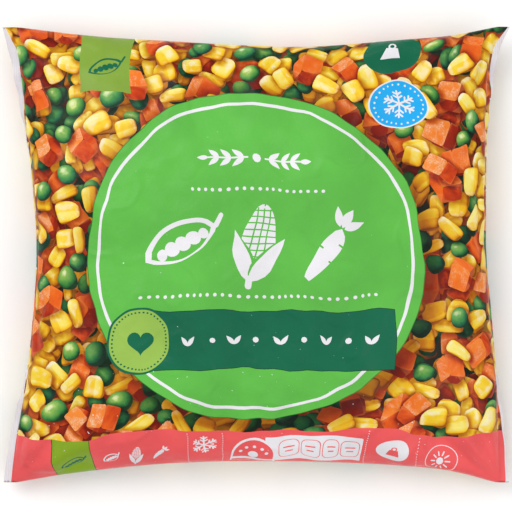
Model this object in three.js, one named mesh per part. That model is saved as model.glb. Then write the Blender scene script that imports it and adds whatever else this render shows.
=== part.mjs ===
// A filled pillow bag for one kilogram of frozen mixed vegetables, lying on its back with the printed face up.
// The film is a tube folded at the top and bottom edges and welded flat at both sides. It is full, so the body swells,
// the edges draw in between the four ears at the corners, and the two welds stand out as thin fins.
// Millimetres, +Z up, +Y towards the top of the print. The origin is under the middle of the bag, on the surface it lies on.
import * as THREE from 'three';

// Driving dimensions
const BAG_WIDTH = 265; // across the corners, fins included
const BAG_HEIGHT = 239; // from the bottom corners to the top corners
const BAG_THICKNESS = 47; // at the fullest place
const FIN_WIDTH = 5; // of each side weld
const FIN_THICKNESS = 0.9; // two layers of film, with their fine ripple
const WAIST_HEIGHT = 17; // of the folded edges above the surface, halfway along them
const CREASE_DEPTH = 1.5; // of the film's folds at the ears
const PUCKER_DEPTH = 0.9; // of the film's ripple along the welds
const DENT_DEPTH = 1.1; // of the shallow dents along the folded edges

// How far each edge draws in from the straight line between its ears, as [place along the edge, millimetres]
const LEFT_DRAW = [[-1, 0], [-0.75, 2.2], [-0.45, 7.8], [0, 12], [0.33, 9.6], [0.6, 5.8], [0.85, 2.9], [1, 0]];
const RIGHT_DRAW = [[-1, 0], [-0.64, 0.1], [-0.3, 3.1], [0, 6.3], [0.45, 6.2], [0.75, 6], [0.9, 4.4], [1, 0]];
const TOP_DRAW = [[-1, 0], [-0.68, 4.9], [-0.4, 7.4], [0, 10.2], [0.24, 10.6], [0.6, 7.1], [0.8, 4.9], [1, 0]];
const BOTTOM_DRAW = [[-1, 0], [-0.78, 5], [-0.4, 10.4], [0, 12.2], [0.45, 10.7], [0.78, 7.1], [1, 0]];

// How full each side of the section is: a larger sharpness keeps the film level for longer, and a power of 0.5 rolls it over
const SIDE_ROLL = { sharpness: 3.4, power: 0.52 };
const TOP_ROLL = { sharpness: 2.1, power: 0.55 };
const BOTTOM_ROLL = { sharpness: 3.4, power: 0.5 };
const UNDERSIDE_ROLL = { sharpness: 3, power: 0.5 };
const FOOT_SHARE = 0.62; // the underside lies flat where its fullness is above this

// How far the film pinches in at the welds, and how far their fins hang down, halfway along them
const PINCH_DEPTH = 4.5;
const PINCH_REACH = 0.34; // in shares of the film's rise
const FIN_DROOP = THREE.MathUtils.degToRad(72);
const FIN_DROOP_AT_EARS = THREE.MathUtils.degToRad(8);
const FIN_RIPPLE = 0.5;

// The ears: which corner, the height of its tip, and where its creases start
const EARS = [
  { x: -1, y: 1, tip: 16, turn: 0.6 },
  { x: 1, y: 1, tip: 19, turn: 2.2 },
  { x: -1, y: -1, tip: 11, turn: 1.5 },
  { x: 1, y: -1, tip: 12, turn: 3.4 },
];
const EAR_REACH = 46; // how far the creases run in from an ear's tip
const EAR_CREASES = 2.5; // waves between its two edges
const EAR_FADE = 1.6; // how soon they die away past their reach

// Mesh density
const COLUMNS = 48;
const ROWS = 44;
const FIN_COLUMNS = 2;

const HALF_WIDTH = BAG_WIDTH / 2 - FIN_WIDTH; // to the welds' inner edges, at the ears
const HALF_HEIGHT = BAG_HEIGHT / 2;
const TAU = 2 * Math.PI;

// A smooth curve through [place, value] knots
function along(knots, place) {
  const last = knots.length - 2;
  const slope = (i) => {
    const before = knots[Math.max(i - 1, 0)];
    const after = knots[Math.min(i + 1, last + 1)];
    return (after[1] - before[1]) / (after[0] - before[0]);
  };
  let i = 0;
  while (i < last && place > knots[i + 1][0]) i += 1;
  const [x0, y0] = knots[i];
  const [x1, y1] = knots[i + 1];
  const step = x1 - x0;
  const t = (place - x0) / step;
  const u = 1 - t;
  return y0 * u * u * (1 + 2 * t) + y1 * t * t * (3 - 2 * t) + step * t * u * (slope(i) * u - slope(i + 1) * t);
}

function roll({ sharpness, power }, place) {
  return Math.max(0, 1 - Math.abs(place) ** sharpness) ** power;
}

// Place on the plan of the bag, for p from weld to weld and q from the bottom fold to the top fold
function plan(p, q) {
  const left = -HALF_WIDTH + along(LEFT_DRAW, q);
  const right = HALF_WIDTH - along(RIGHT_DRAW, q);
  const low = -HALF_HEIGHT + along(BOTTOM_DRAW, p);
  const high = HALF_HEIGHT - along(TOP_DRAW, p);
  return { x: THREE.MathUtils.lerp(left, right, (p + 1) / 2), y: THREE.MathUtils.lerp(low, high, (q + 1) / 2) };
}

// Height of the line where the two faces meet, carried on smoothly under the body
function waist(p, q) {
  return EARS.reduce((height, ear) => {
    const near = Math.max(0, p * ear.x) * Math.max(0, q * ear.y);
    return height + (ear.tip - WAIST_HEIGHT) * near ** 1.5;
  }, WAIST_HEIGHT);
}

// How full the upper and the lower half of the section are, from 0 at the edges to 1
function fullness(p, q, upper) {
  const across = roll(upper ? SIDE_ROLL : UNDERSIDE_ROLL, p);
  if (!upper) {
    const raw = Math.min(1, (across * roll(UNDERSIDE_ROLL, q)) / FOOT_SHARE);
    return raw * (2 - raw);
  }
  return across * roll(q > 0 ? TOP_ROLL : BOTTOM_ROLL, q);
}

// The film without its creases
function body(p, q, upper) {
  const { x, y } = plan(p, q);
  const seam = waist(p, q);
  const full = fullness(p, q, upper);
  const film = (FIN_THICKNESS / 2) * roll({ sharpness: 24, power: 0.5 }, q);
  const rise = (upper ? BAG_THICKNESS - WAIST_HEIGHT : WAIST_HEIGHT) * full;
  const squeezed = Math.max(0, 1 - full / PINCH_REACH) ** 2;
  const pinch = PINCH_DEPTH * squeezed * (1 - q * q) ** 1.5 * Math.abs(p) ** 8;
  const height = upper ? Math.max(film, rise) + seam : seam - Math.max(film, (rise * seam) / WAIST_HEIGHT);
  return new THREE.Vector3(x - Math.sign(p) * pinch, y, height);
}

// How far the film stands off its smooth form, outwards
function crease(p, q, upper) {
  const { x, y } = plan(p, q);
  const fromWeld = HALF_WIDTH * (1 - Math.abs(p));
  const fromFold = HALF_HEIGHT * (1 - Math.abs(q));
  let stand = 0;
  for (const ear of EARS) {
    const dx = HALF_WIDTH - x * ear.x;
    const dy = HALF_HEIGHT - y * ear.y;
    const reach = Math.hypot(dx, dy) / EAR_REACH;
    const angle = Math.atan2(dy, dx) / (Math.PI / 2);
    const fade = reach ** 2 * Math.exp(EAR_FADE * (1 - reach ** 2)) * Math.sin(Math.PI * Math.min(1, Math.max(0, angle)));
    stand += CREASE_DEPTH * fade * Math.cos(TAU * EAR_CREASES * angle + ear.turn);
  }
  const nearWeld = Math.exp(-((fromWeld / 15) ** 2)) * (1 - q ** 6);
  stand += PUCKER_DEPTH * nearWeld * (Math.sin((TAU * y) / 21 + 1.3 + p) + 0.6 * Math.sin((TAU * y) / 33 + 4 * p));
  const nearFold = Math.exp(-((fromFold / 27) ** 2)) * (1 - p ** 8);
  stand += DENT_DEPTH * nearFold * (Math.sin((TAU * x) / 37 + 2 + q) + 0.5 * Math.sin((TAU * x) / 23 + q));
  const edge = Math.min(1, fromWeld / 6) * Math.min(1, fromFold / 3);
  const foot = upper ? 1 : Math.max(0, 1 - fullness(p, q, false) ** 2);
  return stand * edge * foot;
}

const STEP = 1e-3;

// Outward direction of the smooth form
function outward(p, q, upper) {
  const limit = 1 - 2 * STEP;
  const at = THREE.MathUtils.clamp(p, -limit, limit);
  const up = THREE.MathUtils.clamp(q, -limit, limit);
  const alongP = body(at + STEP, up, upper).sub(body(at - STEP, up, upper));
  const alongQ = body(at, up + STEP, upper).sub(body(at, up - STEP, upper));
  return alongP.cross(alongQ).normalize().multiplyScalar(upper ? 1 : -1);
}

function film(p, q, upper) {
  const point = body(p, q, upper).addScaledVector(outward(p, q, upper), crease(p, q, upper));
  point.z = Math.max(0, point.z);
  return point;
}

// A point of the weld's fin, at a share of its width out from the seam
function fin(side, q, share, upper) {
  const seam = body(side, q, true).add(body(side, q, false)).multiplyScalar(0.5);
  const droop = THREE.MathUtils.lerp(FIN_DROOP_AT_EARS, FIN_DROOP, (1 - q * q) ** 0.8);
  const away = new THREE.Vector3(side * Math.cos(droop), 0, -Math.sin(droop));
  const face = new THREE.Vector3(side * Math.sin(droop), 0, Math.cos(droop));
  const half = (FIN_THICKNESS / 2) * roll({ sharpness: 24, power: 0.5 }, q);
  const ripple = FIN_RIPPLE * share * (1 - q ** 6) * Math.sin((TAU * seam.y) / 17 + side);
  return seam.addScaledVector(away, FIN_WIDTH * share).addScaledVector(face, ripple + (upper ? half : -half));
}

// Closer together towards the edges, where the film rolls over
function spread(index, count) {
  return Math.sin((Math.PI / 2) * ((2 * index) / count - 1));
}

// One closed skin: a grid for each face, joined along the folds and round the outer edge of both fins
function bagGeometry() {
  const width = COLUMNS + 2 * FIN_COLUMNS;
  const points = [];
  const index = { true: [], false: [] };
  for (const upper of [true, false]) {
    for (let row = 0; row <= ROWS; row += 1) {
      const q = spread(row, ROWS);
      const onFold = row === 0 || row === ROWS;
      for (let column = 0; column <= width; column += 1) {
        const inner = column - FIN_COLUMNS;
        const out = Math.max(-inner, inner - COLUMNS, 0) / FIN_COLUMNS;
        const p = spread(THREE.MathUtils.clamp(inner, 0, COLUMNS), COLUMNS);
        if (onFold && !upper) {
          index[upper].push(index.true[row * (width + 1) + column]);
          continue;
        }
        index[upper].push(points.length);
        points.push(out > 0 ? fin(Math.sign(p), q, out, upper) : film(p, q, upper));
      }
    }
  }
  const triangles = [];
  const quad = (a, b, c, d) => triangles.push(a, b, c, a, c, d);
  for (let row = 0; row < ROWS; row += 1) {
    for (let column = 0; column < width; column += 1) {
      const low = row * (width + 1) + column;
      const high = low + width + 1;
      const [top, under] = [index.true, index.false];
      quad(top[low], top[low + 1], top[high + 1], top[high]);
      quad(under[low], under[high], under[high + 1], under[low + 1]);
    }
    for (const column of [0, width]) {
      const low = row * (width + 1) + column;
      const high = low + width + 1;
      const corners = [index.true[low], index.true[high], index.false[high], index.false[low]];
      if (column === width) corners.reverse();
      quad(...corners);
    }
  }
  const geometry = new THREE.BufferGeometry();
  geometry.setAttribute('position', new THREE.Float32BufferAttribute(points.flatMap((point) => point.toArray()), 3));
  geometry.setIndex(withoutSlivers(triangles));
  geometry.computeVertexNormals();
  return geometry;
}

// Leaves out the triangles that lose a corner where the two faces share a point
function withoutSlivers(triangles) {
  const kept = [];
  for (let i = 0; i < triangles.length; i += 3) {
    const [a, b, c] = triangles.slice(i, i + 3);
    if (a !== b && b !== c && c !== a) kept.push(a, b, c);
  }
  return kept;
}

// Printed polythene film, taken as the green of its large round panel
function filmMaterial() {
  return new THREE.MeshStandardMaterial({ color: 0x5fb64a, roughness: 0.35, metalness: 0 });
}

const frozenVegetableBag = new THREE.Group();
const bag = new THREE.Mesh(bagGeometry(), filmMaterial());
bag.name = 'vegetable_bag';
frozenVegetableBag.add(bag);

export default frozenVegetableBag;
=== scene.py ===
"""The frozen vegetable bag dressed for its render: printed film over the frame's solid, on a pale floor.

The film is worked out flat, in millimetres, as a tube: across from weld to weld, and round from the lap in
the middle of the back, over the bottom fold, up the front, over the top fold and down the back again. Every
ink and every printed vegetable is a shape on that flat tube, cut into one skin, which is then laid over the
bag's form.
"""
import math
import random

import bpy
import numpy as np
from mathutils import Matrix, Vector
from mathutils.bvhtree import BVHTree
from mathutils.geometry import delaunay_2d_cdt


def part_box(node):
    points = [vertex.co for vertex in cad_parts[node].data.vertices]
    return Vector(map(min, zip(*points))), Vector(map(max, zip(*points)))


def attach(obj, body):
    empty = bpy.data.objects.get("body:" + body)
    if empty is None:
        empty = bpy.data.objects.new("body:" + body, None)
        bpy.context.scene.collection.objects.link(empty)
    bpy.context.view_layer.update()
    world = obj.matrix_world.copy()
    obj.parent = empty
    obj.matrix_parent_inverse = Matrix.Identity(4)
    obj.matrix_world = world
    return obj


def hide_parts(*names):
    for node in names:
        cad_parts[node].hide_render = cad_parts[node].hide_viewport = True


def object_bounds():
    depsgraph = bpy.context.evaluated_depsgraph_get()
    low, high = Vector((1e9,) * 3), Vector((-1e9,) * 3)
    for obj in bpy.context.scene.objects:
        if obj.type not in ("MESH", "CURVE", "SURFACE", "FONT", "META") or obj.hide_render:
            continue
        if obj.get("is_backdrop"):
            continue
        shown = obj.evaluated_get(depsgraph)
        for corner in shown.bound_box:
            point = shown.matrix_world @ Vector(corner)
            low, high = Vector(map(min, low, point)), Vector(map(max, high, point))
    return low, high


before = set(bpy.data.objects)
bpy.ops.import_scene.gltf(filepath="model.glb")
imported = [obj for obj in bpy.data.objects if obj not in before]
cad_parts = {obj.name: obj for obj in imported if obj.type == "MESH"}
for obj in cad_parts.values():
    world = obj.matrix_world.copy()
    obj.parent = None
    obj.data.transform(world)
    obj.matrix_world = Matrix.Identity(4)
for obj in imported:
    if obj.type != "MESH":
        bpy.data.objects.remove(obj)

CAD_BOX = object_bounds()

# Driving sizes, in millimetres: the overall ones come from the frame
MM = 0.001
TAU = 2 * math.pi
BAG_NODE = "vegetable_bag"
BAG_LOW, BAG_HIGH = (np.array(corner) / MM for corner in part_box(BAG_NODE))
BAG_WIDTH, BAG_HEIGHT, BAG_THICKNESS = BAG_HIGH - BAG_LOW
FIN_WIDTH = 5
FILM_HALF = 0.12  # half the thickness of the two layers where they lie together
WAIST_HEIGHT = 17
HALF_WIDTH = BAG_WIDTH / 2 - FIN_WIDTH
HALF_HEIGHT = BAG_HEIGHT / 2

# How far each edge draws in from the straight line between its ears, as (place along the edge, millimetres)
LEFT_DRAW = ((-1, 0), (-0.75, 2.2), (-0.45, 7.8), (0, 12), (0.33, 9.6), (0.6, 5.8), (0.85, 2.9), (1, 0))
RIGHT_DRAW = ((-1, 0), (-0.64, 0.1), (-0.3, 3.1), (0, 6.3), (0.45, 6.2), (0.75, 6), (0.9, 4.4), (1, 0))
TOP_DRAW = ((-1, 0), (-0.68, 4.9), (-0.4, 7.4), (0, 10.2), (0.24, 10.6), (0.6, 7.1), (0.8, 4.9), (1, 0))
BOTTOM_DRAW = ((-1, 0), (-0.78, 5), (-0.4, 10.4), (0, 12.2), (0.45, 10.7), (0.78, 7.1), (1, 0))

# The section's roundness as (sharpness, power), and the share of fullness past which the back lies flat.
# The body is pinched in beside the welds where it is less full than the pinch's reach
SIDE_ROLL = (3.4, 0.52)
TOP_ROLL = (2.1, 0.55)
BOTTOM_ROLL = (3.4, 0.5)
UNDERSIDE_ROLL = (3, 0.5)
FOOT_SHARE = 0.62
FILM_ROLL = (24, 0.5)  # how the two layers of film close towards the ends of a weld
PINCH_DEPTH = 4.5
PINCH_REACH = 0.34
FIN_DROOP = math.radians(72)
FIN_DROOP_AT_EARS = math.radians(8)
FIN_RIPPLE = 0.5
FIN_RIPPLE_LENGTH = 17

# The ears as (side, end, height of the tip, phase of the creases)
EARS = ((-1, 1, 16, 0.6), (1, 1, 19, 2.2), (-1, -1, 11, 1.5), (1, -1, 12, 3.4))
EAR_REACH = 46
EAR_CREASES = 2.5
EAR_FADE = 1.6
CREASE_DEPTH = 1.5
PUCKER_DEPTH = 0.9
PUCKER_REACH = 15
PUCKER_WAVES = ((21, 1.3, 1, 1), (33, 0, 4, 0.6))  # length, phase, drift and height
DENT_DEPTH = 1.1
DENT_REACH = 27
DENT_WAVES = ((37, 2, 1, 1), (23, 0, 1, 0.5))


def along(knots, place):
    """A smooth curve through (place, value) knots."""
    places, values = np.array(knots, float).T
    slopes = np.gradient(values)
    slopes[1:-1] = (values[2:] - values[:-2]) / (places[2:] - places[:-2])
    slopes[0] = (values[1] - values[0]) / (places[1] - places[0])
    slopes[-1] = (values[-1] - values[-2]) / (places[-1] - places[-2])
    i = np.searchsorted(places[1:-1], place)
    step = places[i + 1] - places[i]
    t = (place - places[i]) / step
    u = 1 - t
    ends = values[i] * u * u * (1 + 2 * t) + values[i + 1] * t * t * (3 - 2 * t)
    return ends + step * t * u * (slopes[i] * u - slopes[i + 1] * t)


def roll(shape, place):
    """A round end: 1 in the middle and 0 at -1 and 1."""
    sharpness, power = shape
    return np.maximum(0, 1 - np.abs(place) ** sharpness) ** power


def plan(p, q):
    """Place on the plan for p from weld to weld and q from the bottom fold to the top fold."""
    left = -HALF_WIDTH + along(LEFT_DRAW, q)
    right = HALF_WIDTH - along(RIGHT_DRAW, q)
    low = -HALF_HEIGHT + along(BOTTOM_DRAW, p)
    high = HALF_HEIGHT - along(TOP_DRAW, p)
    return left + (right - left) * (p + 1) / 2, low + (high - low) * (q + 1) / 2


def waist(p, q):
    """Height of the line where the two faces meet, carried on smoothly under the body."""
    height = WAIST_HEIGHT
    for side, end, tip, _ in EARS:
        near = np.maximum(0, p * side) * np.maximum(0, q * end)
        height = height + (tip - WAIST_HEIGHT) * near ** 1.5
    return height


def fullness(p, q, upper):
    """How full the upper or the lower half of the section is, from 0 at the edges to 1."""
    if upper:
        return roll(SIDE_ROLL, p) * np.where(q > 0, roll(TOP_ROLL, q), roll(BOTTOM_ROLL, q))
    raw = np.minimum(1, roll(UNDERSIDE_ROLL, p) * roll(UNDERSIDE_ROLL, q) / FOOT_SHARE)
    return raw * (2 - raw)


def body(p, q, upper):
    """The film's form without its creases."""
    x, y = plan(p, q)
    seam = waist(p, q)
    full = fullness(p, q, upper)
    film = FILM_HALF * roll(FILM_ROLL, q)
    squeezed = np.maximum(0, 1 - full / PINCH_REACH) ** 2
    pinch = PINCH_DEPTH * squeezed * np.maximum(0, 1 - q * q) ** 1.5 * np.abs(p) ** 8
    if upper:
        z = seam + np.maximum(film, (BAG_THICKNESS - WAIST_HEIGHT) * full)
    else:
        z = seam - np.maximum(film, full * seam)
    return np.stack([x - np.sign(p) * pinch, y, z], axis=-1)


def from_edges(p, q):
    """Distances from the nearest weld and from the nearest fold."""
    return HALF_WIDTH * (1 - np.abs(p)), HALF_HEIGHT * (1 - np.abs(q))


def round_ear(x, y, side, end):
    """Distance from an ear, in shares of its reach, and angle round it, in shares of a right angle."""
    dx = HALF_WIDTH - x * side
    dy = HALF_HEIGHT - y * end
    return np.hypot(dx, dy) / EAR_REACH, np.arctan2(dy, dx) / (math.pi / 2)


def hump(distance, width):
    """A smooth rise to 1 at no distance."""
    return np.exp(-((distance / width) ** 2))


def ridge(distance, width):
    """A rise to 1 at no distance, with a sharper top and a longer foot than a hump."""
    return 1 / (1 + (distance / width) ** 2)


def waves(place, other, terms):
    """Waves along an edge that drift as they leave it."""
    return sum(height * np.sin(TAU * place / length + phase + drift * other)
               for length, phase, drift, height in terms)


def crease(p, q):
    """How far the film stands off its smooth form: the large folds, as the solid has them."""
    x, y = plan(p, q)
    from_weld, from_fold = from_edges(p, q)
    stand = 0
    for side, end, _, phase in EARS:
        reach, angle = round_ear(x, y, side, end)
        angle = np.clip(angle, 0, 1)
        fade = reach ** 2 * np.exp(EAR_FADE * (1 - reach ** 2)) * np.sin(math.pi * angle)
        stand = stand + CREASE_DEPTH * fade * np.cos(TAU * EAR_CREASES * angle + phase)
    pucker = PUCKER_DEPTH * hump(from_weld, PUCKER_REACH) * (1 - q ** 6) * waves(y, p, PUCKER_WAVES)
    dent = DENT_DEPTH * hump(from_fold, DENT_REACH) * (1 - p ** 8) * waves(x, q, DENT_WAVES)
    return stand + pucker + dent


# Finer wrinkles of the film, beyond what the solid shows
WRINKLE_SEEDS = (6, 5)  # of the back and of the front
EAR_PLEATS = 4
PLEAT_DEPTH = 1.3
PLEAT_WIDTH = 0.055  # in shares of the ear's right angle
WELD_TUCKS = 13
TUCK_DEPTH = 1.4
TUCK_LENGTH = 13
GUTTERS = ((-1, 112, 58, 5.5), (1, 112, 74, 5), (1, 38, -4, 4.5), (-1, -14, -52, 4.5))  # side, ends, inset
GUTTER_DEPTH = 3
GUTTER_WIDTH = 2
SWELL_DEPTH = 0.5  # long soft swells of the slack film
SWELL_FIELD = (46, 21)  # wavelength and seed
LUMP_DEPTH = 0.16  # of the vegetables that press on the film
LUMP_FIELD = (15, 22, 11)  # wavelength, seed and number of waves
CALM = (12, 10)  # how far in from the welds and the folds the swells fade
FLAT_EDGE = (6, 3)  # how far in from the welds and the folds every crease fades
STEP = 2e-3  # over which the form's slope is measured


def ripples(x, y, wavelength, seed, waves=7):
    """A smooth random field of about unit height: waves of nearly one length in many directions."""
    draw = np.random.default_rng(seed)
    total = 0
    for _ in range(waves):
        angle = draw.uniform(0, TAU)
        pitch = TAU / (wavelength * draw.uniform(0.75, 1.3))
        phase = draw.uniform(0, TAU)
        total = total + np.cos(pitch * (x * np.cos(angle) + y * np.sin(angle)) + phase)
    return total * math.sqrt(2 / waves)


def pleats(draw, x, y):
    """Sharp folds that run into the ears."""
    stand = 0
    for side, end, _, _ in EARS:
        reach, angle = round_ear(x, y, side, end)
        for place in (np.arange(EAR_PLEATS) + 0.5) / EAR_PLEATS:
            bent = place + draw.uniform(-0.06, 0.06) + draw.uniform(-0.12, 0.12) * reach
            share = reach / draw.uniform(0.5, 1.1)
            fade = share ** 1.5 * np.exp(1.5 - 1.5 * share ** 2)
            depth = PLEAT_DEPTH * draw.choice((-1, 1)) * draw.uniform(0.5, 1)
            stand = stand + depth * fade * ridge(angle - bent, PLEAT_WIDTH)
    return stand


def tucks(draw, p, y, from_weld):
    """Short folds that run in from the welds."""
    stand = 0
    for side in (-1, 1):
        for place in np.linspace(-0.86, 0.86, WELD_TUCKS):
            middle = HALF_HEIGHT * (place + draw.uniform(-0.04, 0.04))
            width = draw.uniform(1.8, 4)
            length = TUCK_LENGTH * draw.uniform(0.5, 1.5)
            lean = draw.uniform(-0.35, 0.35)
            tuck = ridge(y - middle - lean * from_weld, width) * hump(from_weld, length)
            stand = stand + TUCK_DEPTH * draw.uniform(-1, 0.5) * tuck * (p * side > 0)
    return stand


def gutters(p, y, from_weld):
    """Long hollows of the front along the welds."""
    stand = 0
    for side, start, end, inset in GUTTERS:
        share = (2 * y - start - end) / (start - end)
        hollow = np.maximum(0, 1 - share ** 2) ** 1.5 * hump(from_weld - inset, GUTTER_WIDTH)
        stand = stand - GUTTER_DEPTH * hollow * (p * side > 0)
    return stand


def wrinkles(p, q, upper):
    """How far the fine wrinkles stand off the form."""
    draw = np.random.default_rng(WRINKLE_SEEDS[upper])
    x, y = plan(p, q)
    from_weld, from_fold = from_edges(p, q)
    stand = pleats(draw, x, y) + tucks(draw, p, y, from_weld)
    if upper:
        stand = stand + gutters(p, y, from_weld)
    inside = np.minimum(1, from_weld / CALM[0]) * np.minimum(1, from_fold / CALM[1])
    swell = SWELL_DEPTH * ripples(x, y, *SWELL_FIELD) + LUMP_DEPTH * ripples(x, y, *LUMP_FIELD)
    return stand + inside * swell


def outward(p, q, upper):
    """Outward direction of the smooth form."""
    limit = 1 - 2 * STEP
    p, q = np.clip(p, -limit, limit), np.clip(q, -limit, limit)
    across = body(p + STEP, q, upper) - body(p - STEP, q, upper)
    up = body(p, q + STEP, upper) - body(p, q - STEP, upper)
    normal = np.cross(across, up)
    normal /= np.linalg.norm(normal, axis=-1, keepdims=True)
    return normal if upper else -normal


def skin(p, q, upper):
    """The film with its creases and wrinkles."""
    from_weld, from_fold = from_edges(p, q)
    stand = crease(p, q) + wrinkles(p, q, upper)
    stand = stand * np.minimum(1, from_weld / FLAT_EDGE[0]) * np.minimum(1, from_fold / FLAT_EDGE[1])
    if not upper:
        stand = stand * np.maximum(0, 1 - fullness(p, q, False) ** 2)
    point = body(p, q, upper) + outward(p, q, upper) * stand[..., None]
    point[..., 2] = np.maximum(0, point[..., 2])
    return point


def fin(side, q, share, upper):
    """A point of the weld's fin, at a share of its width out from the seam."""
    edge = np.full_like(q, side)
    seam = (body(edge, q, True) + body(edge, q, False)) / 2
    droop = FIN_DROOP_AT_EARS + (FIN_DROOP - FIN_DROOP_AT_EARS) * np.maximum(0, 1 - q * q) ** 0.8
    level = np.zeros_like(q)
    away = np.stack([side * np.cos(droop), level, -np.sin(droop)], axis=-1)
    face = np.stack([side * np.sin(droop), level, np.cos(droop)], axis=-1)
    half = FILM_HALF * roll(FILM_ROLL, q) * (1 - share) * (1 if upper else -1)
    ripple = FIN_RIPPLE * share * (1 - q ** 6) * np.sin(TAU * seam[..., 1] / FIN_RIPPLE_LENGTH + side)
    return seam + away * (FIN_WIDTH * share)[..., None] + face * (ripple + half)[..., None]


# The flat film
FILM_WIDTH = BAG_WIDTH - 2 * FIN_WIDTH  # between the welds
FILM_HEIGHT = BAG_HEIGHT  # from fold to fold
OUTER = BAG_WIDTH / 2  # from the middle to the welds' outer edge
FORM_STEPS = 240
SECTION_ROUNDS = 40
SECTION_GAIN = 0.9


def blended(table, i, j, di, dj):
    """A table's value at shares of a step past its rows i and columns j."""
    low = table[i, j] * (1 - dj) + table[i, j + 1] * dj
    high = table[i + 1, j] * (1 - dj) + table[i + 1, j + 1] * dj
    return low * (1 - di) + high * di


class Face:
    """One face of the bag: carries places on the flat film to the form and back."""

    def __init__(self, upper):
        self.upper = upper
        turns = np.linspace(-math.pi / 2, math.pi / 2, FORM_STEPS + 1)
        p, q = np.meshgrid(np.sin(turns), np.sin(turns), indexing="ij")
        points = body(p, q, upper)
        self.across = self.measured(points, 0, FILM_WIDTH)
        self.up = self.measured(points, 1, FILM_HEIGHT)

    @staticmethod
    def measured(points, axis, length):
        """Distance along the film's lines, spread over the film's whole length."""
        points = np.moveaxis(points, axis, 0)
        steps = np.linalg.norm(np.diff(points, axis=0), axis=-1)
        walked = np.concatenate([np.zeros((1, steps.shape[1])), np.cumsum(steps, axis=0)])
        return np.moveaxis((walked / walked[-1] - 0.5) * length, 0, axis)

    @staticmethod
    def sample(table, a, b):
        """Reads a table at two angles, from -90 to 90 degrees each."""
        i, j = ((angle / math.pi + 0.5) * FORM_STEPS for angle in (a, b))
        row, column = (np.clip(place.astype(int), 0, FORM_STEPS - 1) for place in (i, j))
        return blended(table, row, column, i - row, j - column)

    def section(self, x, y):
        """The form's p and q for places on the film."""
        a, b = x / FILM_WIDTH * math.pi, y / FILM_HEIGHT * math.pi
        quarter = math.pi / 2
        for _ in range(SECTION_ROUNDS):
            wrong_x = x - self.sample(self.across, a, b)
            wrong_y = y - self.sample(self.up, a, b)
            a = np.clip(a + SECTION_GAIN * wrong_x * math.pi / FILM_WIDTH, -quarter, quarter)
            b = np.clip(b + SECTION_GAIN * wrong_y * math.pi / FILM_HEIGHT, -quarter, quarter)
        return np.sin(a), np.sin(b)

    def place(self, x, y):
        """The film's point in space, for places between the welds."""
        p, q = self.section(x, y)
        return skin(p, q, self.upper)


# The sheet: the film's points in space on a close grid, from which every vertex is read
SHEET_STEP = 1.0
FIN_STEPS = 4
STRAINS = ((0.55, 44), (0.2, 15))  # how far the slack film carries its print sideways, and over what length
STRAIN_SEEDS = (31, 32)
STRAIN_CALM = (18, 20)  # how far in from the welds and the lap the strain fades


def spans(length, step):
    return max(1, round(length / step))


def smooth(value):
    value = np.clip(value, 0, 1)
    return value * value * (3 - 2 * value)


class Sheet:
    """The film laid over the bag, for x across the tube and t round it, with the front within the folds."""

    def __init__(self):
        half = FILM_WIDTH / 2
        inner = np.linspace(-half, half, spans(FILM_WIDTH, SHEET_STEP) + 1)
        outer = np.linspace(0, FIN_WIDTH, FIN_STEPS + 1)[1:]
        self.x = np.concatenate([-half - outer[::-1], inner, half + outer])
        rows = 2 * spans(FILM_HEIGHT, SHEET_STEP)
        self.t = np.linspace(-FILM_HEIGHT, FILM_HEIGHT, rows + 1)
        x, t = np.meshgrid(self.x, self.t, indexing="ij")
        self.points = self.laid(*self.strained(x, t))
        normal = np.cross(*np.gradient(self.points, self.x, self.t, axis=(0, 1)))
        self.normals = normal / np.maximum(np.linalg.norm(normal, axis=-1, keepdims=True), 1e-9)

    @staticmethod
    def strained(x, t):
        """Shifts places a little, as slack film does, but not at the welds and the lap."""
        free = smooth((FILM_WIDTH / 2 - np.abs(x)) / STRAIN_CALM[0])
        free = free * smooth((FILM_HEIGHT - np.abs(t)) / STRAIN_CALM[1])
        return [place + free * sum(far * ripples(x, t, length, seed) for far, length in STRAINS)
                for place, seed in zip((x, t), STRAIN_SEEDS)]

    @staticmethod
    def laid(x, t):
        """Points in space for places on the film, on the front, the back and the fins."""
        half = FILM_WIDTH / 2
        points = np.empty(x.shape + (3,))
        front = np.abs(t) <= FILM_HEIGHT / 2
        height = np.where(front, t, np.sign(t) * FILM_HEIGHT - t)
        within = np.abs(x) <= half
        for upper, on_face in ((True, front), (False, ~front)):
            face = Face(upper)
            sheet = within & on_face
            points[sheet] = face.place(x[sheet], height[sheet])
            for side in (-1, 1):
                strip = (x * side > half) & on_face
                share = (x[strip] * side - half) / FIN_WIDTH
                q = face.section(np.full(len(share), side * half), height[strip])[1]
                points[strip] = fin(side, q, share, upper)
        return points

    def read(self, x, t):
        """Points and outward directions at places on the film."""
        i = np.clip(np.searchsorted(self.x, x) - 1, 0, len(self.x) - 2)
        j = np.clip(np.searchsorted(self.t, t) - 1, 0, len(self.t) - 2)
        di = ((x - self.x[i]) / (self.x[i + 1] - self.x[i]))[:, None]
        dj = ((t - self.t[j]) / (self.t[j + 1] - self.t[j]))[:, None]
        return [blended(table, i, j, di, dj) for table in (self.points, self.normals)]


# The print. A shape has an outline, an ink, and a frame of its own that its ink is drawn in
LONGEST_EDGE = 4.0
LEAF_POINTS = 9


class Shape:
    """An outline on the film, its ink, and the frame, seed, light and turn that its ink is drawn with."""

    def __init__(self, outline, ink, centre=(0, 0), across=(1, 0), up=(0, 1), seed=0.0, light=1.0, tone=1.0,
                 turn=0.0):
        self.outline = np.asarray(outline, float)
        self.ink = ink
        self.centre, self.across, self.up = np.array(centre), np.array(across), np.array(up)
        self.seed, self.light, self.tone, self.turn = seed, light, tone, turn


def turned(points, angle):
    c, s = math.cos(angle), math.sin(angle)
    return np.asarray(points, float) @ np.array([[c, s], [-s, c]])


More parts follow.
